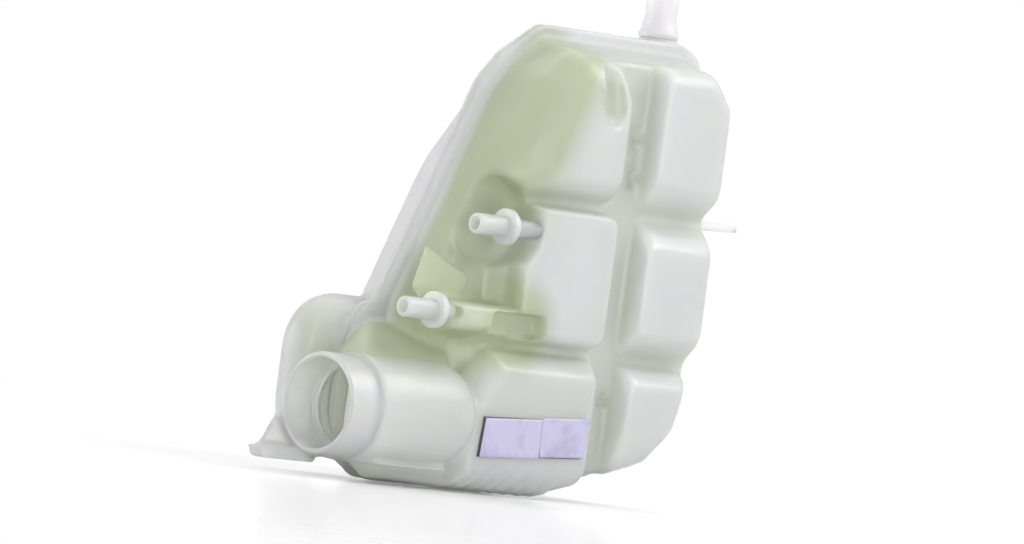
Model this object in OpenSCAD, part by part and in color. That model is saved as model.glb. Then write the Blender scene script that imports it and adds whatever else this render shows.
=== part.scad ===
// Coolant expansion tank for a car engine bay.
// Two thin moulded half shells are welded together along a flat flange.
// The front shell bulges out in two columns of three cells, which stiffen it against pressure.
// Frame: +Z up, +X along the cell faces away from the filler neck, +Y from the front to the back.

/* [Tank] */
// X where the body ends on the right at the seam
body_right = 152; // [150:1:156]
// top of the body at the seam, above the floor
body_top = 233.5; // [231:0.5:236]
// depth of the front shell, from the cell faces to the seam
front_depth = 42; // [40:1:46]
// depth of the back shell behind the seam
back_depth = 34; // [32:1:40]
// thickness of the moulded wall
wall = 2.8; // [2.4:0.2:3.2]

/* [Flange] */
// how far the weld flange stands out of the body
flange_width = 6; // [5:0.5:8]
// thickness of the flange on each half
flange_half = 3; // [2.5:0.5:4]

/* [Cells] */
// height of the line between the lower and the middle row
row_low = 75.5; // [74:0.5:77]
// height of the line between the middle and the upper row
row_high = 149.5; // [148:0.5:151]
// right edge of the left column
column_left_edge = 75; // [74:0.5:76]
// left edge of the right column
column_right_edge = 94; // [92:0.5:95]
// depth of the channels between the cells
channel_depth = 14; // [12:0.5:15]
// height of the sloped upper edge of the lower cells
bevel = 12; // [10:0.5:14]
// height of the sloped upper edge of the middle right cell
middle_bevel = 16; // [14:0.5:18]
// height of the sloped lower edge of the upper cells
under_bevel = 17; // [15:0.5:18]
// radius of the round dips in the upright channel
spot_radius = 4.4; // [3.6:0.2:5]
// depth of the round dips in the upright channel
spot_depth = 4; // [3:0.5:6]
// thickness of a slanted rib below the label
rib_thick = 3; // [2.4:0.2:3.4]
// distance from one rib to the next
rib_step = 9.6; // [9:0.2:10]
// lean of the ribs from the upright
rib_lean = 32; // [28:1:36]

/* [Filler neck] */
// bore of the neck at its mouth
neck_bore = 45; // [43:0.5:46]
// thickness of the neck's wall
neck_wall = 3; // [2.5:0.5:3.5]
// length of the neck that stands out of the tank
neck_length = 20; // [20:0.5:24]
// depth of the wide part of the bore
neck_depth = 18; // [15:0.5:18.5]
// bore of the throat into the tank
throat_bore = 40; // [36:0.5:41]
// height of the neck's axis above the floor
neck_z = 37; // [36:0.5:38]
// how far the round bulge behind the neck is wider than the neck
bulge_margin = 2; // [1.5:0.5:2.5]

/* [Hose nipples] */
// outer diameter of a nipple's tube
nipple_outer = 10.5; // [9.5:0.5:12]
// bore of a nipple
nipple_bore = 6.5; // [5:0.5:7]
// length of the tube in front of its stop disc
nipple_length = 20; // [18:0.5:24]
// diameter of the stop disc
disc_outer = 18.5; // [17:0.5:20]
// thickness of the stop disc
disc_thick = 3.6; // [3:0.2:4]
// radius of the round pocket around the upper nipple
pocket_radius = 22; // [21:0.5:23]

/* [Outlet pipe] */
// outer diameter of the pipe on top
pipe_outer = 16.5; // [15:0.5:17]
// bore of the pipe
pipe_bore = 10; // [8:0.5:11]
// how far the pipe stands above its foot ring
pipe_length = 20; // [18:1:24]
// diameter of the foot ring
ring_outer = 21; // [20:0.5:23]

/* [Mounts] */
// thickness of the foot plate
foot_thick = 6; // [5:0.5:7]
// width of the foot plate from front to back
foot_width = 10; // [8:1:14]
// length of the tongue on the right side
tongue_length = 26; // [22:1:30]
// width of the tongue from front to back
tongue_width = 14; // [12:1:18]

/* [Label] */
// length of the blank label
label_length = 77; // [70:1:78]
// height of the blank label
label_height = 20; // [16:1:21]

/* [Hidden] */
curve = 20;
skin = 0.02;
seam = front_depth;
back = front_depth + back_depth;
// the origin is the middle of the footprint, on the floor
neck_y = 16;
neck_root = -86.5;
neck_outer = neck_bore + 2 * neck_wall;
bulge_radius = neck_outer / 2 + bulge_margin;
tongue_end = body_right + flange_width + tongue_length;
origin_x = (neck_root - neck_length + tongue_end) / 2;
origin_y = (neck_y - bulge_radius + back) / 2;
upper_y = 6;
upper_z = 135;
upper_disc = -1;
pocket_x = -3;
pocket_end = pocket_x + pocket_radius;
stub_end = pocket_end - 0.4;
lower_y = upper_y;
// the lower nipple sits just above the line between the lower rows
lower_z = row_low + 14;
lower_disc = -43;
lower_end = -34;
shelf_low = lower_z - 14;
shelf_top = lower_z + 5.5;
recess = 22;
web_y = 19;
web_thick = 2.6;
ledge_thick = 1.4;
pipe_x = 135.5;
pipe_y = 54;
ring_z = body_top + 8;
tongue_z = row_high - 1;
label_tilt = 3.2;
label_x = -8;
label_z = 19;
label_split = label_length * 0.58;
label_overlap = 2.3;
rib_start = -14;
rib_count = 8;
foot_left = -99.5;
foot_right = -61;
foot_z = 5;
foot_top = foot_z + foot_thick;
tongue_y = 30;
foot_y = 65;
spot_x = column_right_edge - 4;
spot_heights = [188, 168, 53];
far = 400;

// Outline of the tall part of the body at the seam.
tall = [
    [39, body_top],
    [body_right - 14, body_top],
    [body_right - 4, body_top - 4],
    [body_right, body_top - 14],
    [body_right, 66],
    [body_right - 9, 43],
    [body_right - 30, 23],
    [body_right - 67, 11],
    [40, 6],
    [-45, 6],
    [-45, 91],
    [-2, 190],
    [4, 204],
    [16, 218]
];
// Outline of the tall part at the depth of the recess beside the nipples.
tall_front = [
    [48, body_top - 6],
    [body_right - 16, body_top - 6],
    [body_right - 6, body_top - 18],
    [body_right - 6, 68],
    [body_right - 15, 46],
    [body_right - 34, 28],
    [body_right - 70, 15],
    [40, 9],
    [-30, 9],
    [-30, 91],
    [10, 186],
    [26, 216]
];
// Outline of the low part that carries the filler neck.
low = [
    [-64, 66],
    [-64, 24],
    [-60, 14],
    [-50, 7],
    [-38, 6],
    [0, 6],
    [0, 84],
    [-56, 84],
    [-62, 77]
];
// Outline of the tall part where the back shell turns in.
tall_back = [
    [60, body_top - 4],
    [body_right - 14, body_top - 4],
    [body_right - 5, body_top - 14],
    [body_right - 4, 68],
    [body_right - 14, 44],
    [body_right - 34, 25],
    [body_right - 70, 13],
    [40, 8],
    [-40, 8],
    [-40, 91],
    [-14, 152],
    [-7, 166],
    [11, 182]
];

// A thin layer of an outline, drawn in by a margin, at one depth.
module layer(depth, points, radius, margin) {
    translate([0, depth, 0])
        rotate([90, 0, 0])
            linear_extrude(skin)
                offset(r = radius)
                    offset(delta = -radius - margin)
                        polygon(points);
}

// A thin layer of a rounded rectangle, from its edges.
module field(depth, x0, x1, z0, z1, radius, margin) {
    layer(depth, [[x0, z0], [x1, z0], [x1, z1], [x0, z1]], radius, margin);
}

// All the space behind one depth.
module behind(depth) {
    translate([-far / 2, depth, -far / 4])
        cube(far);
}

// A pillow cell with sloped upper and lower edges and rounded sides.
module cell(x0, x1, z0, z1, upper, lower, left, right, in) {
    hull() {
        field(in, x0 + left, x1 - right, z0 + lower, z1 - upper, 5, in);
        field(1.4 + in, x0 + left * 0.7, x1 - right * 0.6, z0 + lower * 0.84, z1 - upper * 0.84, 6, in);
        field(5 + in, x0 + left * 0.4, x1 - right * 0.22, z0 + lower * 0.56, z1 - upper * 0.56, 8, in);
        field(channel_depth + 2 + in, x0, x1, z0 - 0.5, z1 + 0.5, 5, in);
    }
}

// The upper left cell leans back towards the slanted side.
module slanted_cell(in) {
    foot = row_high + under_bevel;
    edge = column_left_edge;
    hull() {
        layer(in, [
            [28, foot], [edge - 9, foot], [edge - 9, 204], [59, 211], [50, 209], [30, 180]
        ], 4, in);
        layer(2 + in, [
            [20, foot - 4], [edge - 3.5, foot - 4], [edge - 3.5, 205], [62, 218], [46, 216],
            [23, 184]
        ], 6, in);
        layer(7 + in, [
            [10, foot - 10], [edge - 0.5, foot - 10], [edge - 0.5, 207], [66, 222],
            [42, 223], [27, 208], [13, 182]
        ], 7, in);
        layer(17 + in, [
            [-4, row_high], [edge + 2, row_high], [edge + 2, 211], [69, 227], [36, 229],
            [18, 213], [5, 188]
        ], 8, in);
        layer(seam - 5 + in, [
            [-19, row_high], [edge + 4, row_high], [edge + 4, 229], [40, 231], [17, 216],
            [5, 202], [-1, 188]
        ], 6, in);
    }
}

// The finger-like hollow at the top of the upper left cell.
module finger(grow) {
    hull() {
        translate([59.5, -1, 199])
            sphere(r = 7.5 + grow, $fn = curve);
        translate([57, 1, 233])
            sphere(r = 8.5 + grow, $fn = curve);
    }
}

// The middle left cell and the shelf that carries the lower nipple.
module middle_left(in) {
    cell(9.5, column_left_edge, row_low + 0.5, row_high - 0.5, 3, 6, 2, 4.5, in);
    hull() {
        field(3 + in, lower_end + 5, 14, shelf_low + 9, shelf_top - 2, 4, in);
        field(7 + in, lower_end + 1, 18, shelf_low + 6, shelf_top, 4, in);
        field(recess + 4 + in, lower_end - 2, 24, shelf_low, shelf_top + 1.5, 5, in);
    }
}

// The upper right cell, with its wide round corner at the top.
module upper_right(in) {
    foot = row_high + under_bevel;
    edge = column_right_edge;
    right = body_right - 5;
    top = body_top - 6;
    hull() {
        layer(in, [
            [edge + 2, foot], [right - 9, foot], [right - 9, top - 20],
            [right - 22, top - 8], [edge + 2, top - 8]
        ], 4, in);
        layer(2 + in, [
            [edge + 1, foot - 3], [right - 4, foot - 3], [right - 4, top - 20],
            [right - 18, top - 5], [edge + 1, top - 5]
        ], 5, in);
        layer(6 + in, [
            [edge + 0.5, foot - 8], [right - 1, foot - 8], [right - 1, top - 18],
            [right - 15, top - 2], [edge + 0.5, top - 2]
        ], 6, in);
        layer(16 + in, [
            [edge, row_high - 0.5], [right, row_high - 0.5], [right, top - 16],
            [right - 13, top], [edge, top]
        ], 6, in);
    }
}

// Round pocket around the upper nipple.
module pocket(grow) {
    hull() {
        for (z = [upper_z, upper_z + 3]) {
            translate([pocket_x, recess + grow, z])
                rotate([90, 0, 0])
                    cylinder(r = pocket_radius + grow, h = recess + 12, $fn = 40);
            translate([pocket_x, recess + 5 + grow, z])
                rotate([90, 0, 0])
                    cylinder(r = pocket_radius - 5 + grow, h = 5, $fn = 40);
        }
    }
}

// Small niche beside the shelf, above the lower left cell.
module niche(grow) {
    hull() {
        field(-2, -7, 31, shelf_low + 4, shelf_top - 2, 3, -grow);
        field(9 + grow, -4, 28, shelf_low + 4, shelf_top - 3, 3, -grow);
    }
}

// Round bulge behind the filler neck.
module bulge(in) {
    hull() {
        translate([neck_root + in, neck_y, neck_z])
            rotate([0, 90, 0])
                cylinder(r = bulge_radius - 1 - in, h = 2, $fn = 40);
        translate([neck_root + 1.5 + in, neck_y, neck_z])
            rotate([0, 90, 0])
                cylinder(r = bulge_radius - in, h = 48, $fn = 40);
        translate([-34.5, neck_y, neck_z])
            sphere(r = bulge_radius - in, $fn = 28);
    }
    hull() {
        translate([neck_root + in, neck_y, neck_z])
            rotate([0, 90, 0])
                cylinder(r = bulge_radius - 2 - in, h = 50, $fn = 32);
        layer(seam + in, low, 6, in + 1);
    }
}

// Everything the front shell encloses, drawn in by a margin.
module front_body(in) {
    difference() {
        union() {
            hull() {
                layer(recess + in, tall_front, 10, in);
                layer(seam - 6 + in, tall, 12, 1.5 + in);
                layer(seam + 0.1 + in, tall, 12, in);
            }
            hull() {
                layer(channel_depth + in, [
                    [8, row_low - 20], [body_right - 7, row_low - 20],
                    [body_right - 7, body_top - 8], [50, body_top - 8], [28, 200], [8, 150]
                ], 9, in);
                layer(recess + 4 + in, [
                    [0, row_low - 24], [body_right - 5, row_low - 24],
                    [body_right - 5, body_top - 6], [46, body_top - 6], [24, 206], [0, 150]
                ], 10, in);
            }
            hull() {
                layer(channel_depth + in, [
                    [-8, 12], [92, 18], [body_right - 22, 38], [body_right - 12, 62],
                    [body_right - 12, row_low + 8], [-8, row_low + 2]
                ], 6, in);
                layer(recess + 4 + in, [
                    [-24, 6], [92, 12], [body_right - 20, 34], [body_right - 8, 60],
                    [body_right - 8, row_low + 8], [-24, row_low + 2]
                ], 6, in);
            }
            hull() {
                layer(16 + in, [
                    [-84, 26], [-80, 9], [-70, 2], [10, 0.5], [10, 40], [-84, 40]
                ], 4, in);
                layer(10 + in, [
                    [-80, 26], [-74, 10], [-66, 4], [10, 2.5], [10, 40], [-80, 40]
                ], 4, in);
                layer(seam + 0.1 + in, low, 4, in);
            }
            slanted_cell(in);
            middle_left(in);
            // lower left cell, which carries the label
            hull() {
                layer(in, [
                    [-12, 15.5], [69, 19], [69, row_low - bevel], [7, row_low - bevel],
                    [-9, 42]
                ], 3, in);
                layer(2 + in, [
                    [-14, 10], [72, 14], [72, row_low - bevel * 0.8],
                    [4, row_low - bevel * 0.8], [-12, 44]
                ], 4, in);
                layer(8 + in, [
                    [-18, 3.5], [50, 4.5], [74.5, 10], [74.5, row_low - bevel * 0.3],
                    [0, row_low - bevel * 0.3], [-16, 46]
                ], 5, in);
                layer(16 + in, [
                    [-24, 0.5], [46, 0.5], [76, 9], [76, row_low + 0.5], [-3, row_low + 0.5],
                    [-22, 48]
                ], 5, in);
            }
            // right column
            upper_right(in);
            cell(column_right_edge, body_right - 5, row_low, row_high, middle_bevel, 15, 2, 9, in);
            hull() {
                layer(in, [
                    [96, 33], [113, 39], [124, 49], [130, 60], [130, row_low - bevel],
                    [96, row_low - bevel]
                ], 4, in);
                layer(2 + in, [
                    [95, 26], [117, 32], [131, 46], [135, 60], [135, row_low - bevel * 0.8],
                    [95, row_low - bevel * 0.8]
                ], 5, in);
                layer(7 + in, [
                    [94, 19], [118, 25], [135, 41], [140, 60], [140, row_low - bevel * 0.4],
                    [94, row_low - bevel * 0.4]
                ], 5, in);
                layer(channel_depth + 4 + in, [
                    [92, 13], [119, 21], [138, 37], [144, 60], [144, row_low + 0.5],
                    [92, row_low + 0.5]
                ], 5, in);
            }
            bulge(in);
        }
        pocket(in);
        niche(in);
        finger(in);
    }
}

// The back shell's enclosed room, drawn in by a margin.
module back_body(in) {
    hull() {
        layer(seam - 0.1 - in, tall, 12, in);
        layer(seam + 6 - in, tall, 12, 1 + in);
        layer(back - 12 - in, tall_back, 10, in);
        layer(back - 8 - in, tall_back, 10, 2.5 + in);
    }
    // round chamber behind the filler neck
    hull() {
        layer(seam - 0.1 - in, [[-60, 7], [20, 6], [20, 82], [-56, 82]], 6, 2 * in);
        field(seam + 9 + in * 0.4, -84, 20, 10, 88, 24, in * 1.2);
        field(seam + 19, -88, 20, 9, 91, 27, in);
        field(back - 7 - in, -86, 20, 11, 89, 26, in);
        field(back - 1 - in, -77, 20, 18, 80, 20, in);
    }
    // shallow cells on the back
    for (z = [[row_low + 3, row_high - 3], [row_high + 3, body_top - 10]]) {
        hull() {
            field(back - 10 - in, 84, body_right - 12, z[0], z[1], 10, in);
            field(back - in, 90, body_right - 19, z[0] + 6, z[1] - 6, 8, in);
        }
    }
    hull() {
        field(back - 10 - in, 84, body_right - 30, 36, row_low - 3, 10, in);
        field(back - in, 90, body_right - 37, 42, row_low - 9, 8, in);
    }
    hull() {
        field(back - 10 - in, 26, 76, 14, row_low - 3, 10, in);
        field(back - in, 32, 70, 20, row_low - 9, 8, in);
    }
    hull() {
        field(back - 10 - in, -6, 76, row_low + 3, row_high - 3, 10, in);
        field(back - in, 0, 70, row_low + 9, row_high - 9, 8, in);
    }
    hull() {
        field(back - 10 - in, 20, 76, row_high + 3, body_top - 24, 10, in);
        field(back - in, 26, 70, row_high + 9, body_top - 30, 8, in);
    }
}

module seam_outline(margin) {
    offset(delta = -margin)
        union() {
            polygon(tall);
            polygon(low);
        }
}

// Half of the weld flange.
module flange(y0, y1) {
    translate([0, y1, 0])
        rotate([90, 0, 0])
            linear_extrude(y1 - y0)
                difference() {
                    offset(r = 12)
                        offset(delta = -12)
                            seam_outline(-flange_width);
                    seam_outline(wall);
                }
}

// Round dips in the upright channel, from a start depth, grown by a wall or not.
module spots(start, grow) {
    for (z = spot_heights) {
        translate([spot_x, start, z])
            rotate([-90, 0, 0])
                cylinder(
                    r1 = spot_radius + grow,
                    r2 = spot_radius - 2 + grow,
                    h = channel_depth + spot_depth + grow - start,
                    $fn = curve
                );
    }
}

// Slanted stiffening ribs at the lower front edge, below the label.
module ribs() {
    intersection() {
        hull() {
            layer(0.4, [[-12, 12], [64, 15], [64, 17], [-12, 17]], 1, 0);
            layer(0.9, [[-14, 9], [66, 12.8], [66, 17.5], [-12, 17.5]], 2, 0);
            layer(6.8, [[-18, 2.4], [50, 3.2], [70, 8], [70, 17.5], [-12, 17.5]], 2, 0);
            layer(17, [[-24, 0], [46, 0], [70, 6.6], [70, 17.5], [-16, 17.5]], 2, 0);
        }
        union() {
            for (i = [0:rib_count - 1]) {
                translate([rib_start + i * rib_step, 0, label_z / 2])
                    rotate([0, rib_lean, 0])
                        cube([rib_thick, seam, 2 * label_z], center = true);
            }
        }
    }
}

module front_shell() {
    color([0.82, 0.84, 0.80])
        difference() {
            union() {
                front_body(0);
                flange(seam - flange_half, seam);
                ribs();
                spots(channel_depth + 0.3, wall);
                // thin ledge under the round bulge
                translate([neck_root, neck_y, neck_z - bulge_radius + 0.4])
                    linear_extrude(ledge_thick)
                        polygon([
                            [3, 4], [4, -9], [7, -14], [12, -17.5], [18, -18.5], [50, -18.5],
                            [58, -16], [66, -8], [66, 4]
                        ]);
                // tongue on the right side
                hull() {
                    translate([body_right - 5, tongue_y - tongue_width / 2, tongue_z - 2.5])
                        cube([6, tongue_width, 5]);
                    translate([tongue_end - 6, tongue_y - tongue_width / 2 + 2, tongue_z - 1.5])
                        cube([6, tongue_width - 4, 3]);
                }
                // web between the flange and the lower nipple
                translate([0, web_y, 0])
                    rotate([90, 0, 0])
                        linear_extrude(web_thick)
                            polygon([
                                [-51, shelf_top + 4], [-45, upper_z - 14], [-12, upper_z - 26.5],
                                [-13, upper_z - 31], [-20, lower_z], [-40, lower_z]
                            ]);
            }
            difference() {
                front_body(wall);
                spots(channel_depth + 0.3, wall);
            }
            spots(channel_depth - 1, 0);
            // ways into the tank behind the welded fittings
            translate([neck_root - 5, neck_y, neck_z])
                rotate([0, 90, 0])
                    cylinder(d = throat_bore, h = 30, $fn = 48);
            translate([pocket_end - 6, upper_y, upper_z])
                rotate([0, 90, 0])
                    cylinder(d = nipple_bore, h = 14, $fn = curve);
            translate([lower_end - 6, lower_y, lower_z])
                rotate([0, 90, 0])
                    cylinder(d = nipple_bore, h = 14, $fn = curve);
            // the front shell ends at the seam
            behind(seam);
        }
}

module back_shell() {
    color([0.90, 0.90, 0.92])
        difference() {
            union() {
                intersection() {
                    back_body(0);
                    behind(seam);
                }
                flange(seam, seam + flange_half);
                // stand under the outlet pipe
                translate([pipe_x, pipe_y, body_top - 14])
                    cylinder(d = ring_outer, h = ring_z - body_top + 14, $fn = 40);
                // foot plate with its chamfered end
                translate([0, foot_y + foot_width / 2, 0])
                    rotate([90, 0, 0])
                        linear_extrude(foot_width)
                            polygon([
                                [foot_left + 3, foot_z], [foot_right, foot_z],
                                [foot_right, foot_top], [foot_left, foot_top]
                            ]);
                // triangular gusset
                translate([0, foot_y + 1.5, 0])
                    rotate([90, 0, 0])
                        linear_extrude(3)
                            polygon([
                                [foot_left + 2, foot_top - 0.5], [-70, foot_top - 0.5],
                                [-70, 50], [-79, 41.5]
                            ]);
            }
            intersection() {
                back_body(wall);
                behind(seam - 1);
            }
            translate([pipe_x, pipe_y, body_top - 20])
                cylinder(d = pipe_bore, h = 40, $fn = curve);
        }
}

module filler_neck() {
    color([0.84, 0.84, 0.86])
        translate([neck_root, neck_y, neck_z])
            rotate([0, -90, 0])
                rotate_extrude($fn = 64)
                    polygon([
                        [throat_bore / 2, 0],
                        [throat_bore / 2, neck_length - neck_depth],
                        [neck_bore / 2, neck_length - neck_depth],
                        [neck_bore / 2, neck_length - 1],
                        [neck_bore / 2 + 1, neck_length],
                        [neck_outer / 2 - 1, neck_length],
                        [neck_outer / 2, neck_length - 1],
                        [neck_outer / 2, 1.5],
                        [neck_outer / 2 + 1.2, 0]
                    ]);
}

// A nipple with its stop disc, cone and stub, pointing along +Z from the disc.
module nipple(stub) {
    rotate_extrude($fn = 48)
        polygon([
            [nipple_bore / 2, -stub],
            [nipple_bore / 2, disc_thick + nipple_length],
            [nipple_outer / 2 - 0.6, disc_thick + nipple_length],
            [nipple_outer / 2, disc_thick + nipple_length - 0.8],
            [nipple_outer / 2, disc_thick],
            [disc_outer / 2, disc_thick],
            [disc_outer / 2, 0],
            [nipple_outer / 2 + 2, 0],
            [nipple_outer / 2 + 1.4, -2.5],
            [nipple_outer / 2 - 0.4, -5],
            [nipple_outer / 2 - 1.2, -stub]
        ]);
}

module upper_nipple() {
    color([0.86, 0.87, 0.90])
        translate([upper_disc, upper_y, upper_z])
            rotate([0, -90, 0])
                nipple(stub_end - upper_disc);
}

module lower_nipple() {
    color([0.86, 0.87, 0.90])
        translate([lower_disc, lower_y, lower_z])
            rotate([0, -90, 0])
                nipple(lower_end + 0.45 - lower_disc);
}

module outlet_pipe() {
    color([0.93, 0.92, 0.94])
        translate([pipe_x, pipe_y, ring_z])
            rotate_extrude($fn = 48)
                polygon([
                    [pipe_bore / 2, 0],
                    [pipe_bore / 2, pipe_length + 3],
                    [pipe_outer / 2 - 0.8, pipe_length + 3],
                    [pipe_outer / 2, pipe_length + 2],
                    [pipe_outer / 2, 11],
                    [ring_outer / 2 - 0.5, 3],
                    [ring_outer / 2, 2.4],
                    [ring_outer / 2, 0]
                ]);
}

// A flat sticker on the lower left cell's face, cut from an outline.
module sticker(thick, lift) {
    translate([label_x, -skin - 0.05 - lift, label_z])
        rotate([0, -label_tilt, 0])
            rotate([90, 0, 0])
                linear_extrude(thick)
                    children();
}

module old_label() {
    color([0.25, 0.24, 0.33])
        sticker(0.15, 0)
            polygon([
                [0, 0], [label_length - 4, 0], [label_length - 2, label_height],
                [2.6, label_height + 0.4]
            ]);
}

module cover_label_left() {
    color([0.79, 0.77, 0.89])
        sticker(0.2, 0.15)
            polygon([
                [1.5, -0.5],
                [label_split, -0.4],
                [label_split, label_height - 0.4],
                [4, label_height - 0.3]
            ]);
}

module cover_label_right() {
    color([0.81, 0.79, 0.91])
        sticker(0.2, 0.35)
            polygon([
                [label_split - label_overlap, 0.2],
                [label_length - 3.5, 0.2],
                [label_length - 0.4, 3],
                [label_length, label_height + 0.6],
                [label_split - label_overlap / 2, label_height + 0.3]
            ]);
}

module placed() {
    translate([-origin_x, -origin_y, 0])
        children();
}

placed() front_shell();
placed() back_shell();
placed() filler_neck();
placed() upper_nipple();
placed() lower_nipple();
placed() outlet_pipe();
placed() old_label();
placed() cover_label_left();
placed() cover_label_right();
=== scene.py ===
import math

import bmesh
import bpy
from mathutils import Matrix, Vector, noise


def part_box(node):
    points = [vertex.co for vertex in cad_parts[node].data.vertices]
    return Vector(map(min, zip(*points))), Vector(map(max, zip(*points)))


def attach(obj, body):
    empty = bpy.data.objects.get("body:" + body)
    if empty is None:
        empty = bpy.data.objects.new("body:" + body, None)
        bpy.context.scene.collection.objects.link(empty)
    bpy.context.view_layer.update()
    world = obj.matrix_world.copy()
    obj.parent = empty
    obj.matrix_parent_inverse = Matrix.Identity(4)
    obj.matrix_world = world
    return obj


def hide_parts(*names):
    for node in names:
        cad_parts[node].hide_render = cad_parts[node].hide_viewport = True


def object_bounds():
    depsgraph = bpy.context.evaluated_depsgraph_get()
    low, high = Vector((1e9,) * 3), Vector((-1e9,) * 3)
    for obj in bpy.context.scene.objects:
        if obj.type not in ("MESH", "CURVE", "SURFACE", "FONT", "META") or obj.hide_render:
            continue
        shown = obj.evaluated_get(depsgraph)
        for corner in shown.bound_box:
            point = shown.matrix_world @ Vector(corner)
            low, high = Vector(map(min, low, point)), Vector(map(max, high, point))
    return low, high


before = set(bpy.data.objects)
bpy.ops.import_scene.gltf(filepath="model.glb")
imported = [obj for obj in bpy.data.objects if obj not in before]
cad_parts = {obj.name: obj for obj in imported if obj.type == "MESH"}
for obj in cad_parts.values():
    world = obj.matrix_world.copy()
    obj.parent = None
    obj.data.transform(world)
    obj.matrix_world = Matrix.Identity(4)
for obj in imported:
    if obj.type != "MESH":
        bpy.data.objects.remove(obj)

bl_info = {
    "name": "Coolant expansion tank",
    "version": (1, 0, 0),
    "blender": (4, 5, 0),
    "location": "View3D > Sidebar > Coolant tank",
    "description": "Builds a milky plastic coolant expansion tank around its packed solids",
    "category": "Object",
}

CAD_LOW, CAD_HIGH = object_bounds()
MM = 0.001
FRONT_LOW, FRONT_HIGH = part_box("front_shell")
SEAM_Y = FRONT_HIGH.y
FLANGE_RIGHT = min(FRONT_HIGH.x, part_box("back_shell")[1].x)
RIM_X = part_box("filler_neck")[0].x
FACE_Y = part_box("old_label")[1].y
# the slanted left side: a point on it at the seam, and its run per unit of height
SLANT_X = FRONT_LOW.x + 41.5 * MM
SLANT_Z = FRONT_LOW.z + 91 * MM
SLANT = 0.434
# middles of the finger-like hollow and of the niche
FINGER = (FRONT_LOW.x + 145.5 * MM, FACE_Y + 3 * MM, FRONT_LOW.z + 206 * MM)
NICHE = (FRONT_LOW.x + 99 * MM, FACE_Y + 7 * MM, FRONT_LOW.z + 86 * MM)
# painted shade: how far each place turns from the clear colour to the darker green shade colour
CHANNEL_SHADE = 0.42
SLANT_SHADE = 0.58
CROWN_SHADE = 0.6
NICHE_SHADE = 0.95
FINGER_SHADE = 0.45
HIDDEN_SHADE = 0.1
LOWER_SHADE = 0.24
# how much of the light goes through each moulding
SHELL_THROUGH = 0.55
NECK_THROUGH = 0.7
NIPPLE_THROUGH = 0.5
PIPE_THROUGH = 0.4


def shade(red, green, blue):
    """A linear colour from the eight bit values a screen shows."""
    return tuple(((v / 255 + 0.055) / 1.055) ** 2.4 for v in (red, green, blue))


def length(name, text, default):
    """A length property in metres."""
    return bpy.props.FloatProperty(name=name, description=text, default=default, unit="LENGTH")


def colour(name, text, default):
    """A colour property."""
    return bpy.props.FloatVectorProperty(
        name=name, description=text, default=default, subtype="COLOR", min=0.0, max=1.0
    )


class TANK_PG_shells(bpy.types.PropertyGroup):
    """Sizes and colours of the two moulded halves."""

    voxel: length("Mesh size", "Edge length of the smoothed mesh", 1.5 * MM)
    rounds: bpy.props.IntProperty(
        name="Rounding", description="How often the moulded edges are softened", default=6, min=0
    )
    limit: bpy.props.IntProperty(
        name="Triangles", description="Most triangles that one half may have",
        default=190000, min=1000
    )
    clear: colour("Clear", "Plastic where it faces out", shade(251, 252, 251))
    # painted shade: the darker green that channels, pockets and hidden places are painted with
    painted_shade: colour("Deep", "Plastic in the channels and pockets", shade(204, 212, 181))
    # painted light: near white behind the seam, standing in for light shining through the thin
    # wall
    painted_backlight: colour("Thin", "Thin plastic of the back half", shade(252, 251, 253))


class TANK_PG_fittings(bpy.types.PropertyGroup):
    """Sizes and colours of the neck, the nipples and the pipe."""

    neck_bore: length("Neck bore", "Radius of the neck's wide bore", 22.5 * MM)
    neck_depth: length("Neck depth", "Depth of the wide bore", 18 * MM)
    throat: length("Throat", "Radius of the throat into the tank", 20 * MM)
    nipple: length("Nipple", "Outer radius of a nipple's tube", 5.25 * MM)
    nipple_bore: length("Nipple bore", "Radius of a nipple's bore", 3.25 * MM)
    disc: length("Disc", "Thickness of a nipple's stop disc", 3.6 * MM)
    pipe: length("Pipe", "Outer radius of the outlet pipe", 8.25 * MM)
    pipe_bore: length("Pipe bore", "Radius of the outlet pipe's bore", 5 * MM)
    edge: length("Edge", "Width of the softened edges", 0.35 * MM)
    milky: colour("Milky", "Plastic of the fittings", shade(248, 248, 250))


class TANK_PG_labels(bpy.types.PropertyGroup):
    """Colours of the stickers."""

    pale: colour("Pale", "Face of the cover stickers", shade(182, 177, 206))
    dark: colour("Dark", "Edge of the old sticker", shade(44, 40, 58))
    long: length("Length", "Length of the stickers", 77 * MM)
    high: length("Height", "Height of the stickers", 20 * MM)
    film: length("Film", "Thickness of a sticker", 0.2 * MM)
    wrinkle: length("Wrinkle", "Height of the wrinkles", 0.3 * MM)
    curl: length("Curl", "How far the loose corner stands off", 1.1 * MM)
    tilt: bpy.props.FloatProperty(
        name="Tilt", description="Slope of the stickers along the cell",
        default=math.radians(3.2), subtype="ANGLE"
    )


class TANK_PG_stage(bpy.types.PropertyGroup):
    """Camera and light."""

    azimuth: bpy.props.FloatProperty(
        name="Azimuth", description="Turn of the camera to the left of the front",
        default=math.radians(44.58), subtype="ANGLE"
    )
    elevation: bpy.props.FloatProperty(
        name="Elevation", description="Height of the camera over the level",
        default=math.radians(0.48), subtype="ANGLE"
    )
    roll: bpy.props.FloatProperty(
        name="Roll", description="Lean of the camera",
        default=math.radians(7.6), subtype="ANGLE"
    )
    distance: length("Distance", "From the camera to the tank", 4.5)
    lens: bpy.props.FloatProperty(
        name="Lens", description="Focal length in millimetres", default=315.5
    )
    aim: bpy.props.FloatVectorProperty(
        name="Aim", description="Point in the middle of the picture",
        default=(RIM_X + 106.25 * MM, -32.25 * MM, 113 * MM), unit="LENGTH"
    )
    glow: bpy.props.FloatProperty(
        name="Glow", description="Strength of the white room", default=0.7
    )
    floor: length("Floor", "Radius of the floor", 1.2)


def settings(name):
    """One of this add-on's groups of settings."""
    return getattr(bpy.context.scene, name)


# Shader groups

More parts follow.
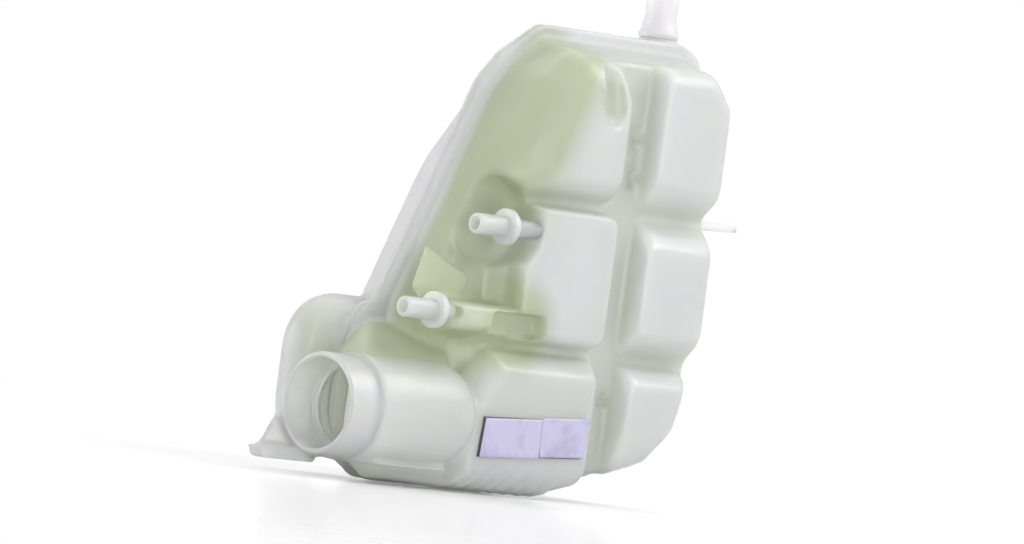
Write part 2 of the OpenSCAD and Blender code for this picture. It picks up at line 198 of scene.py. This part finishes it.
def node_group(name, inputs, outputs):
    """A shader node group with named sockets, and its two ends."""
    tree = bpy.data.node_groups.new(name, "ShaderNodeTree")
    for label, kind, default in inputs:
        socket = tree.interface.new_socket(name=label, in_out="INPUT", socket_type=kind)
        socket.default_value = default
    for label, kind in outputs:
        tree.interface.new_socket(name=label, in_out="OUTPUT", socket_type=kind)
    return tree, tree.nodes.new("NodeGroupInput"), tree.nodes.new("NodeGroupOutput")


def add(tree, kind, **values):
    """A node with its properties set."""
    node = tree.nodes.new(kind)
    for key, value in values.items():
        setattr(node, key, value)
    return node


def math_node(tree, operation, first, second):
    """A clamped math node fed by sockets or numbers."""
    node = add(tree, "ShaderNodeMath", operation=operation, use_clamp=True)
    for socket, value in zip(node.inputs, (first, second)):
        if isinstance(value, (int, float)):
            socket.default_value = value
        else:
            tree.links.new(value, socket)
    return node.outputs[0]


def ramp(tree, value, low, high):
    """0 at low, 1 at high, smooth between."""
    node = add(tree, "ShaderNodeMapRange", interpolation_type="SMOOTHSTEP")
    node.inputs["From Min"].default_value = low
    node.inputs["From Max"].default_value = high
    tree.links.new(value, node.inputs["Value"])
    return node.outputs["Result"]


def near(tree, place, spot, far, close):
    """1 within one distance of a spot, 0 beyond the other."""
    node = add(tree, "ShaderNodeVectorMath", operation="DISTANCE")
    tree.links.new(place, node.inputs[0])
    node.inputs[1].default_value = spot
    return ramp(tree, node.outputs["Value"], far, close)


def mix(tree, factor, first, second):
    """A colour between two."""
    node = add(tree, "ShaderNodeMix", data_type="RGBA")
    for value, index in ((factor, 0), (first, 6), (second, 7)):
        if isinstance(value, (int, float, tuple)):
            node.inputs[index].default_value = value
        else:
            tree.links.new(value, node.inputs[index])
    return node.outputs[2]


def product(tree, mask, *others):
    """Masks multiplied."""
    for other in others:
        mask = math_node(tree, "MULTIPLY", mask, other)
    return mask


def clouds(tree, place, scale, detail=2):
    """Noise over the surface."""
    node = add(tree, "ShaderNodeTexNoise", noise_dimensions="3D")
    node.inputs["Scale"].default_value = scale
    node.inputs["Detail"].default_value = detail
    tree.links.new(place, node.inputs["Vector"])
    return node.outputs["Fac"]


def painted_shade_mask(tree, place, x, y, z):
    """Painted shade in channels, on the slanted side, in hollows and low down, as a darker green.
    """
    before_seam = ramp(tree, y, SEAM_Y - 3 * MM, SEAM_Y - 8 * MM)
    behind_seam = ramp(tree, y, SEAM_Y + 4 * MM, SEAM_Y + 10 * MM)
    off_seam = math_node(tree, "MAXIMUM", before_seam, behind_seam)
    # painted shade in the channels between the cells, in front of the seam
    channel = product(
        tree,
        ramp(tree, y, FACE_Y + 2 * MM, FACE_Y + 15 * MM),
        before_seam,
        ramp(tree, x, FLANGE_RIGHT, FLANGE_RIGHT - 12 * MM),
    )
    # distance from the slanted side, along X
    slanted = add(tree, "ShaderNodeVectorMath", operation="DOT_PRODUCT")
    tree.links.new(place, slanted.inputs[0])
    slanted.inputs[1].default_value = (1, 0, -SLANT)
    across = slanted.outputs["Value"]
    side = SLANT_X - SLANT * SLANT_Z
    # painted shade on the slanted left side, which faces away from the light
    slant = product(
        tree,
        ramp(tree, across, side + 66 * MM, side + 24 * MM),
        ramp(tree, z, SLANT_Z - 42 * MM, SLANT_Z - 16 * MM),
        off_seam,
    )
    # painted shadow: a darker band high on the upper left cell
    crown = product(
        tree,
        ramp(tree, across, side, side + 16 * MM),
        ramp(tree, across, side + 48 * MM, side + 26 * MM),
        ramp(tree, z, SLANT_Z + 64 * MM, SLANT_Z + 78 * MM),
    )
    # painted shade in the niche and in the finger-like hollow
    niche = near(tree, place, NICHE, 32 * MM, 12 * MM)
    finger = near(tree, place, FINGER, 14 * MM, 7 * MM)
    # painted shade where the tank's own shape hides the surface, from ambient occlusion
    around = add(tree, "ShaderNodeAmbientOcclusion", samples=6, only_local=True)
    around.inputs["Distance"].default_value = 34 * MM
    hidden = ramp(tree, around.outputs["AO"], 0.92, 0.3)
    # painted shade low down on the front cells
    lower = product(
        tree,
        ramp(tree, z, FRONT_LOW.z + 18 * MM, FRONT_LOW.z + 34 * MM),
        ramp(tree, z, FRONT_LOW.z + 84 * MM, FRONT_LOW.z + 62 * MM),
        ramp(tree, x, FRONT_LOW.x + 165 * MM, FRONT_LOW.x + 152 * MM),
    )
    # the shares of painted shade add up here
    green = math_node(tree, "MULTIPLY", channel, CHANNEL_SHADE)
    for mask, share in (
        (slant, SLANT_SHADE),
        (crown, CROWN_SHADE),
        (niche, NICHE_SHADE),
        (finger, FINGER_SHADE),
        (hidden, HIDDEN_SHADE),
        (lower, LOWER_SHADE),
    ):
        green = math_node(tree, "ADD", green, math_node(tree, "MULTIPLY", mask, share))
    drift = math_node(tree, "MULTIPLY", clouds(tree, place, 22), 0.22)
    return math_node(tree, "ADD", green, math_node(tree, "SUBTRACT", drift, 0.09))


def backlit_mask(tree, x, y, z):
    """Painted light: near white where the wall is thin, behind the seam, high up and left of the
    front half.
    """
    behind = ramp(tree, y, SEAM_Y - 1 * MM, SEAM_Y + 8 * MM)
    high = ramp(tree, z, FRONT_LOW.z + 80 * MM, FRONT_LOW.z + 105 * MM)
    outer = ramp(tree, x, FRONT_LOW.x + 3 * MM, FRONT_LOW.x - 2 * MM)
    thin = math_node(tree, "MAXIMUM", math_node(tree, "ADD", high, 0.2), outer)
    return product(tree, behind, thin)


def milky_group():
    """Plastic with painted shade, greener the deeper and more hidden it lies, and painted light
    on thin walls.
    """
    tree, start, end = node_group(
        "Milky wall",
        [(name, "NodeSocketColor", (1, 1, 1, 1)) for name in ("Clear", "Deep", "Thin")],
        [
            ("Colour", "NodeSocketColor"),
            ("Roughness", "NodeSocketFloat"),
            ("Height", "NodeSocketFloat"),
        ],
    )
    place = add(tree, "ShaderNodeTexCoord").outputs["Object"]
    axes = add(tree, "ShaderNodeSeparateXYZ")
    tree.links.new(place, axes.inputs[0])
    x, y, z = (axes.outputs[name] for name in "XYZ")
    green = painted_shade_mask(tree, place, x, y, z)
    # painted shade mixed into the clear colour
    tint = mix(tree, green, start.outputs["Clear"], start.outputs["Deep"])
    # painted light: near white behind the seam, as if lit through the thin wall
    tint = mix(tree, backlit_mask(tree, x, y, z), tint, start.outputs["Thin"])
    tree.links.new(tint, end.inputs["Colour"])
    grain = clouds(tree, place, 160, 3)
    rough = add(tree, "ShaderNodeMapRange")
    rough.inputs["To Min"].default_value = 0.36
    rough.inputs["To Max"].default_value = 0.5
    tree.links.new(grain, rough.inputs["Value"])
    tree.links.new(rough.outputs["Result"], end.inputs["Roughness"])
    waves = clouds(tree, place, 45)
    height = math_node(tree, "ADD", waves, math_node(tree, "MULTIPLY", grain, 0.08))
    tree.links.new(height, end.inputs["Height"])
    return tree


def material(name):
    """A new material, its tree and its shader."""
    made = bpy.data.materials.new(name)
    made.use_nodes = True
    tree = made.node_tree
    return made, tree, tree.nodes["Principled BSDF"]


def milky_material(name, clear, painted_shade, thin, through):
    """Natural polypropylene, with the share of the light that goes through it."""
    made, tree, shader = material(name)
    group = add(tree, "ShaderNodeGroup")
    group.node_tree = bpy.data.node_groups.get("Milky wall") or milky_group()
    group.inputs["Clear"].default_value = (*clear, 1)
    # painted shade colour
    group.inputs["Deep"].default_value = (*painted_shade, 1)
    # painted light: near white where light shines through the thin wall
    group.inputs["Thin"].default_value = (*thin, 1)
    tree.links.new(group.outputs["Colour"], shader.inputs["Base Color"])
    tree.links.new(group.outputs["Roughness"], shader.inputs["Roughness"])
    bump = add(tree, "ShaderNodeBump")
    bump.inputs["Strength"].default_value = 0.12
    bump.inputs["Distance"].default_value = 0.6 * MM
    tree.links.new(group.outputs["Height"], bump.inputs["Height"])
    tree.links.new(bump.outputs["Normal"], shader.inputs["Normal"])
    shader.inputs["Subsurface Weight"].default_value = 0.9
    shader.inputs["Subsurface Radius"].default_value = (1.0, 1.05, 0.8)
    shader.inputs["Subsurface Scale"].default_value = 20 * MM
    shader.inputs["Transmission Weight"].default_value = through
    shader.inputs["IOR"].default_value = 1.49
    shader.inputs["Coat Weight"].default_value = 0.12
    shader.inputs["Coat Roughness"].default_value = 0.25
    return made


def sticker_material(name, tone):
    """Satin film with faint stains."""
    made, tree, shader = material(name)
    place = add(tree, "ShaderNodeTexCoord").outputs["Object"]
    spots = ramp(tree, clouds(tree, place, 70, 4), 0.46, 0.72)
    stain = math_node(tree, "MULTIPLY", spots, 0.8)
    stained = tuple(0.72 * v for v in tone)
    tinted = mix(tree, stain, (*tone, 1), (*stained, 1))
    tree.links.new(tinted, shader.inputs["Base Color"])
    shader.inputs["Roughness"].default_value = 0.42
    return made


# Meshes

def finish_piece(mesh, node, surface):
    """Links a finished mesh as the piece that stands for a CAD node and rides the tank."""
    piece = bpy.data.objects.new(node.replace("_", "-"), mesh)
    bpy.context.collection.objects.link(piece)
    mesh.materials.clear()
    mesh.materials.append(surface)
    for face in mesh.polygons:
        face.use_smooth = True
    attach(piece, "root")
    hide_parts(node)


def evaluated(obj):
    """The object's mesh with its modifiers applied."""
    graph = bpy.context.evaluated_depsgraph_get()
    return bpy.data.meshes.new_from_object(obj.evaluated_get(graph), depsgraph=graph)


def moulded(node, voxel, rounds, limit, stiff):
    """A smooth copy of a shell's solid, with its edges softened as a mould does."""
    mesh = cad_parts[node].data.copy()
    shell = bmesh.new()
    shell.from_mesh(mesh)
    bmesh.ops.remove_doubles(shell, verts=shell.verts, dist=0.01 * MM)
    shell.to_mesh(mesh)
    shell.free()
    draft = bpy.data.objects.new(node + " draft", mesh)
    bpy.context.collection.objects.link(draft)
    remesh = draft.modifiers.new("Remesh", "REMESH")
    remesh.mode = "VOXEL"
    remesh.voxel_size = voxel
    draft.data = evaluated(draft)
    draft.modifiers.clear()
    soft = draft.vertex_groups.new(name="soft")
    for vertex in draft.data.vertices:
        soft.add([vertex.index], stiff(vertex.co), "REPLACE")
    rounding = draft.modifiers.new("Rounding", "SMOOTH")
    rounding.factor = 0.5
    rounding.iterations = rounds
    rounding.vertex_group = "soft"
    triangles = 2 * len(draft.data.polygons)
    if triangles > limit:
        thin = draft.modifiers.new("Thin", "DECIMATE")
        thin.ratio = limit / triangles
    done = evaluated(draft)
    bpy.data.objects.remove(draft)
    return done


def turned(profile, rings, edge):
    """A mesh spun from (radius, height) points round Z, with its edges softened."""
    lathe = bmesh.new()
    points = [lathe.verts.new((radius, 0, height)) for radius, height in profile]
    edges = [lathe.edges.new((a, b)) for a, b in zip(points, points[1:] + points[:1])]
    bmesh.ops.spin(
        lathe, geom=points + edges, cent=(0, 0, 0), axis=(0, 0, 1), angle=2 * math.pi,
        steps=rings, use_merge=True
    )
    bmesh.ops.remove_doubles(lathe, verts=lathe.verts, dist=0.001 * MM)
    bmesh.ops.recalc_face_normals(lathe, faces=lathe.faces)
    sharp = [e for e in lathe.edges if len(e.link_faces) == 2 and e.calc_face_angle() > 0.5]
    bmesh.ops.bevel(
        lathe, geom=sharp, offset=edge, offset_type="OFFSET", segments=3, profile=0.5,
        affect="EDGES", clamp_overlap=True, material=-1
    )
    return lathe


def pose(lathe, name, turn, place):
    """The turned piece as a mesh, turned and moved into place."""
    bmesh.ops.transform(lathe, matrix=Matrix.Translation(place) @ turn, verts=lathe.verts)
    mesh = bpy.data.meshes.new(name)
    lathe.to_mesh(mesh)
    lathe.free()
    return mesh


TO_LEFT = Matrix.Rotation(-math.pi / 2, 4, "Y")


class TANK_OT_shells(bpy.types.Operator):
    """Builds the two moulded halves"""

    bl_idname = "tank.shells"
    bl_label = "Shells"

    def execute(self, context):
        s = settings("tank_shells")
        surface = milky_material(
            "Natural polypropylene", s.clear, s.painted_shade, s.painted_backlight, SHELL_THROUGH
        )
        # shares of the rounding that thin and sharp places get
        plate, edge, ribs = 0.15, 0.12, 0.4
        flange = 4 * MM
        gusset = 2.2 * MM
        rib_top = FRONT_LOW.z + 17.5 * MM
        rib_right = FRONT_LOW.x + 157 * MM
        rib_back = SEAM_Y - 26 * MM
        outer_left = FRONT_LOW.x - 2 * MM
        foot_right = FRONT_LOW.x + 27 * MM
        foot_top = FRONT_LOW.z + 12 * MM
        foot_front = SEAM_Y + 15 * MM
        gusset_y = SEAM_Y + 23 * MM
        gusset_top = FRONT_LOW.z + 43 * MM
        outer_right = FLANGE_RIGHT - 3 * MM

        def stiff(place):
            if place.x < outer_left or place.x > outer_right:
                return plate
            if abs(place.y - SEAM_Y) < flange:
                return edge
            if place.x < foot_right and place.y > foot_front:
                on_gusset = abs(place.y - gusset_y) < gusset and place.z < gusset_top
                if place.z < foot_top or on_gusset:
                    return edge
            if place.z < rib_top and place.x < rib_right and place.y < rib_back:
                return ribs
            return 1.0

        for node in ("front_shell", "back_shell"):
            mesh = moulded(node, s.voxel, s.rounds, s.limit, stiff)
            finish_piece(mesh, node, surface)
        return {"FINISHED"}


class TANK_OT_neck(bpy.types.Operator):
    """Builds the open filler neck"""

    bl_idname = "tank.neck"
    bl_label = "Filler neck"

    def execute(self, context):
        s = settings("tank_fittings")
        low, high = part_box("filler_neck")
        place = Vector((FRONT_LOW.x, (low.y + high.y) / 2, (low.z + high.z) / 2))
        rim = place.x - low.x
        ring = (high.z - low.z) / 2
        bead_width, bead_height = 1.2 * MM, 1.8 * MM
        outer = ring - bead_width
        ledge = rim - s.neck_depth
        chamfer = 0.9 * MM
        lead_in = 1 * MM
        profile = [
            (s.throat, 0),
            (s.throat, ledge),
            (s.neck_bore, ledge),
            (s.neck_bore, rim - lead_in),
            (s.neck_bore + chamfer, rim),
            (outer - chamfer, rim),
            (outer, rim - chamfer),
            (outer, bead_height),
            (ring, 0),
        ]
        mesh = pose(turned(profile, 96, s.edge), "filler neck", TO_LEFT, place)
        # painted shade colour for the neck's hollows
        painted_shade = shade(244, 246, 238)
        surface = milky_material("Neck polypropylene", s.milky, painted_shade, s.milky, NECK_THROUGH)
        finish_piece(mesh, "filler_neck", surface)
        return {"FINISHED"}


class TANK_OT_nipples(bpy.types.Operator):
    """Builds both hose nipples"""

    bl_idname = "tank.nipples"
    bl_label = "Hose nipples"

    def execute(self, context):
        s = settings("tank_fittings")
        # the second colour is painted shade for the nipples' hollows
        clear, painted_shade = shade(246, 247, 250), shade(232, 236, 228)
        surface = milky_material("Nipple polypropylene", clear, painted_shade, s.milky, NIPPLE_THROUGH)
        tube = 20 * MM
        for node in ("upper_nipple", "lower_nipple"):
            low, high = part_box(node)
            disc = (high.z - low.z) / 2
            foot = -(high.x - low.x - s.disc - tube)
            profile = [
                (s.nipple_bore, foot),
                (s.nipple_bore, s.disc + tube),
                (s.nipple - 0.6 * MM, s.disc + tube),
                (s.nipple, s.disc + tube - 0.8 * MM),
                (s.nipple, s.disc),
                (disc, s.disc),
                (disc, 0),
                (s.nipple + 2 * MM, 0),
                (s.nipple + 1.4 * MM, -2.5 * MM),
                (s.nipple - 0.4 * MM, -5 * MM),
                (s.nipple - 1.2 * MM, foot),
            ]
            place = Vector((high.x + foot, (low.y + high.y) / 2, (low.z + high.z) / 2))
            mesh = pose(turned(profile, 48, s.edge), node, TO_LEFT, place)
            finish_piece(mesh, node, surface)
        return {"FINISHED"}


class TANK_OT_pipe(bpy.types.Operator):
    """Builds the outlet pipe on top"""

    bl_idname = "tank.pipe"
    bl_label = "Outlet pipe"

    def execute(self, context):
        s = settings("tank_fittings")
        low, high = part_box("outlet_pipe")
        ring = (high.x - low.x) / 2
        top = high.z - low.z
        profile = [
            (s.pipe_bore, 0),
            (s.pipe_bore, top),
            (s.pipe - 0.8 * MM, top),
            (s.pipe, top - 1 * MM),
            (s.pipe, 11 * MM),
            (ring - 0.5 * MM, 3 * MM),
            (ring, 2.4 * MM),
            (ring, 0),
        ]
        place = Vector(((low.x + high.x) / 2, (low.y + high.y) / 2, low.z))
        mesh = pose(turned(profile, 56, s.edge), "outlet pipe", Matrix.Identity(4), place)
        # the second colour is painted shade for the pipe's hollows
        clear, painted_shade = shade(250, 248, 251), shade(240, 238, 236)
        surface = milky_material("Pipe polypropylene", clear, painted_shade, clear, PIPE_THROUGH)
        finish_piece(mesh, "outlet_pipe", surface)
        return {"FINISHED"}


def sheet(name, corners, lift, film, wrinkle, curl):
    """A wrinkled film between four corners, in the plane of the label."""
    low_left, low_right, top_right, top_left = (Vector(corner) for corner in corners)
    across, up = 54, 16
    # how near to the upper right and lower left corners the film comes loose
    loose_top, loose_low, loose_reach = 1.72, 0.24, 0.28
    film_mesh = bmesh.new()
    bmesh.ops.create_grid(film_mesh, x_segments=across, y_segments=up, size=0.5)
    for vert in film_mesh.verts:
        u, v = vert.co.x + 0.5, vert.co.y + 0.5
        spot = low_left.lerp(low_right, u).lerp(top_left.lerp(top_right, u), v)
        soft = noise.noise(Vector((spot.x * 90, spot.y * 160, 3.0)))
        fold = noise.noise(Vector((spot.x * 55 + spot.y * 40, spot.y * 35, 9.0)))
        crease = 1 - abs(fold) * 4
        rise = wrinkle * (0.5 + 0.5 * soft) + wrinkle * 0.8 * max(0.0, crease)
        inside = min(1.0, 6 * min(u, v, 1 - u, 1 - v) + 0.25)
        loose = max(0.0, u + v - loose_top, loose_low - u - v) / loose_reach
        vert.co = Vector((spot.x, -lift - rise * inside - curl * loose ** 2, spot.y))
    bmesh.ops.recalc_face_normals(film_mesh, faces=film_mesh.faces)
    mesh = bpy.data.meshes.new(name)
    film_mesh.to_mesh(mesh)
    film_mesh.free()
    draft = bpy.data.objects.new(name + " draft", mesh)
    bpy.context.collection.objects.link(draft)
    body = draft.modifiers.new("Film", "SOLIDIFY")
    body.thickness = film
    body.offset = 0
    done = evaluated(draft)
    bpy.data.objects.remove(draft)
    return done


class TANK_OT_labels(bpy.types.Operator):
    """Builds the blank stickers"""

    bl_idname = "tank.labels"
    bl_label = "Stickers"

    def execute(self, context):
        s = settings("tank_labels")
        low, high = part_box("old_label")
        place = Matrix.Translation((low.x, high.y, low.z)) @ Matrix.Rotation(-s.tilt, 4, "Y")
        join = 0.57 * s.long
        step = 0.4 * MM
        top = s.high
        right, far_right = s.long - 2 * MM, s.long
        # corners from the lower left round, colour, layer, wrinkled, curled
        sheets = {
            "old_label": (
                ((0, 0), (s.long - 4 * MM, 0), (right, top - 2 * step), (2.6 * MM, top + step)),
                s.dark, 0.6, 0, 0,
            ),
            "cover_label_left": (
                ((1.5 * MM, -step), (join, -step), (join, top - step), (4 * MM, top - step)),
                s.pale, 1.6, 1, 0,
            ),
            "cover_label_right": (
                ((join - step, step), (right, step), (far_right, top + step), (join, top + step)),
                s.pale, 2.1, 1, 1,
            ),
        }
        for node, (corners, tone, layer, wrinkled, curled) in sheets.items():
            surface = sticker_material(node.replace("_", " ") + " film", tone)
            mesh = sheet(
                node, corners, layer * s.film, s.film * 0.8,
                wrinkled * s.wrinkle, curled * s.curl
            )
            mesh.transform(place)
            finish_piece(mesh, node, surface)
        return {"FINISHED"}


def lamp(name, place, aim, size, power):
    """A soft square lamp."""
    data = bpy.data.lights.new(name, "AREA")
    data.energy = power
    data.size = size
    light = bpy.data.objects.new(name, data)
    light.location = place
    light.visible_camera = False
    light.rotation_mode = "QUATERNION"
    light.rotation_quaternion = (Vector(aim) - Vector(place)).to_track_quat("-Z", "Y")
    bpy.context.collection.objects.link(light)
    return light


def floor_material(edge):
    """White glass that fades out before its edge and mirrors faintly."""
    extra, gloss = 0.25, 0.45
    fade_from, fade_to = 0.3 * edge, 0.95 * edge
    made, tree, shader = material("White floor")
    shader.inputs["Base Color"].default_value = (0.8, 0.8, 0.81, 1)
    shader.inputs["Roughness"].default_value = 0.8
    shader.inputs["Specular IOR Level"].default_value = 0.0
    path = add(tree, "ShaderNodeLightPath")
    glow = add(tree, "ShaderNodeEmission")
    seen = math_node(tree, "MULTIPLY", path.outputs["Is Camera Ray"], extra)
    tree.links.new(seen, glow.inputs["Strength"])
    lit = add(tree, "ShaderNodeAddShader")
    tree.links.new(shader.outputs[0], lit.inputs[0])
    tree.links.new(glow.outputs[0], lit.inputs[1])
    mirror = add(tree, "ShaderNodeBsdfGlossy")
    mirror.inputs["Roughness"].default_value = 0.12
    glass = add(tree, "ShaderNodeMixShader")
    glass.inputs[0].default_value = gloss
    tree.links.new(lit.outputs[0], glass.inputs[1])
    tree.links.new(mirror.outputs[0], glass.inputs[2])
    place = add(tree, "ShaderNodeTexCoord").outputs["Object"]
    reach = add(tree, "ShaderNodeVectorMath", operation="LENGTH")
    tree.links.new(place, reach.inputs[0])
    gone = ramp(tree, reach.outputs["Value"], fade_from, fade_to)
    clear = add(tree, "ShaderNodeBsdfTransparent")
    fade = add(tree, "ShaderNodeMixShader")
    tree.links.new(gone, fade.inputs[0])
    tree.links.new(glass.outputs[0], fade.inputs[1])
    tree.links.new(clear.outputs[0], fade.inputs[2])
    tree.links.new(fade.outputs[0], tree.nodes["Material Output"].inputs["Surface"])
    return made


class TANK_OT_stage(bpy.types.Operator):
    """Sets the floor, the light and the camera"""

    bl_idname = "tank.stage"
    bl_label = "Stage"

    def execute(self, context):
        s = settings("tank_stage")
        scene = context.scene
        scene.view_settings.view_transform = "Standard"
        world = bpy.data.worlds.new("White room")
        world.use_nodes = True
        tree = world.node_tree
        back = tree.nodes["Background"]
        back.inputs["Color"].default_value = (1, 1, 1, 1)
        path = add(tree, "ShaderNodeLightPath")
        seen = path.outputs["Is Camera Ray"]
        for ray in ("Is Transmission Ray", "Is Glossy Ray"):
            seen = math_node(tree, "MAXIMUM", seen, path.outputs[ray])
        strength = add(tree, "ShaderNodeMapRange")
        strength.inputs["To Min"].default_value = s.glow
        strength.inputs["To Max"].default_value = 1.0
        tree.links.new(seen, strength.inputs["Value"])
        tree.links.new(strength.outputs["Result"], back.inputs["Strength"])
        scene.world = world

        floor = bmesh.new()
        bmesh.ops.create_circle(floor, cap_ends=True, segments=96, radius=s.floor)
        mesh = bpy.data.meshes.new("floor")
        floor.to_mesh(mesh)
        floor.free()
        ground = bpy.data.objects.new("floor", mesh)
        bpy.context.collection.objects.link(ground)
        ground.location.z = CAD_LOW.z - 0.2 * MM
        mesh.materials.append(floor_material(s.floor))

        middle = (CAD_LOW + CAD_HIGH) / 2
        key = lamp("key", (0.65, -0.6, 0.95), middle, size=0.6, power=8)
        fill = lamp("fill", (-1.3, 1.3, 0.5), middle, size=1.2, power=17)
        top = lamp("top", (0.2, 0.3, 1.9), middle, size=1.5, power=10)
        low = lamp("low", (-0.7, -1.5, 0.12), middle, size=0.5, power=8)

        data = bpy.data.cameras.new("camera")
        data.lens = s.lens
        data.sensor_width = 36
        data.clip_end = 100
        camera = bpy.data.objects.new("camera", data)
        bpy.context.collection.objects.link(camera)
        away = Vector((
            -math.sin(s.azimuth) * math.cos(s.elevation),
            -math.cos(s.azimuth) * math.cos(s.elevation),
            math.sin(s.elevation),
        ))
        camera.location = Vector(s.aim) + away * s.distance
        camera.rotation_mode = "QUATERNION"
        level = (-away).to_track_quat("-Z", "Y")
        camera.rotation_quaternion = level @ Matrix.Rotation(s.roll, 3, "Z").to_quaternion()
        scene.camera = camera
        return {"FINISHED"}


STEPS = (
    TANK_OT_shells,
    TANK_OT_neck,
    TANK_OT_nipples,
    TANK_OT_pipe,
    TANK_OT_labels,
    TANK_OT_stage,
)
GROUPS = {
    "tank_shells": TANK_PG_shells,
    "tank_fittings": TANK_PG_fittings,
    "tank_labels": TANK_PG_labels,
    "tank_stage": TANK_PG_stage,
}


class TANK_PT_panel(bpy.types.Panel):
    """Lists the steps and their settings"""

    bl_label = "Coolant tank"
    bl_idname = "TANK_PT_panel"
    bl_space_type = "VIEW_3D"
    bl_region_type = "UI"
    bl_category = "Coolant tank"

    def draw(self, context):
        for step in STEPS:
            self.layout.operator(step.bl_idname)
        for name, group in GROUPS.items():
            box = self.layout.box()
            for key in group.__annotations__:
                box.prop(getattr(context.scene, name), key)


def register():
    for group in GROUPS.values():
        bpy.utils.register_class(group)
    for step in STEPS + (TANK_PT_panel,):
        bpy.utils.register_class(step)
    for name, group in GROUPS.items():
        setattr(bpy.types.Scene, name, bpy.props.PointerProperty(type=group))


def unregister():
    for name in GROUPS:
        delattr(bpy.types.Scene, name)
    for made in STEPS + (TANK_PT_panel,) + tuple(GROUPS.values()):
        bpy.utils.unregister_class(made)


def main():
    """Builds the tank and its stage."""
    register()
    bpy.ops.tank.shells()
    bpy.ops.tank.neck()
    bpy.ops.tank.nipples()
    bpy.ops.tank.pipe()
    bpy.ops.tank.labels()
    bpy.ops.tank.stage()


if __name__ == "__main__":
    main()
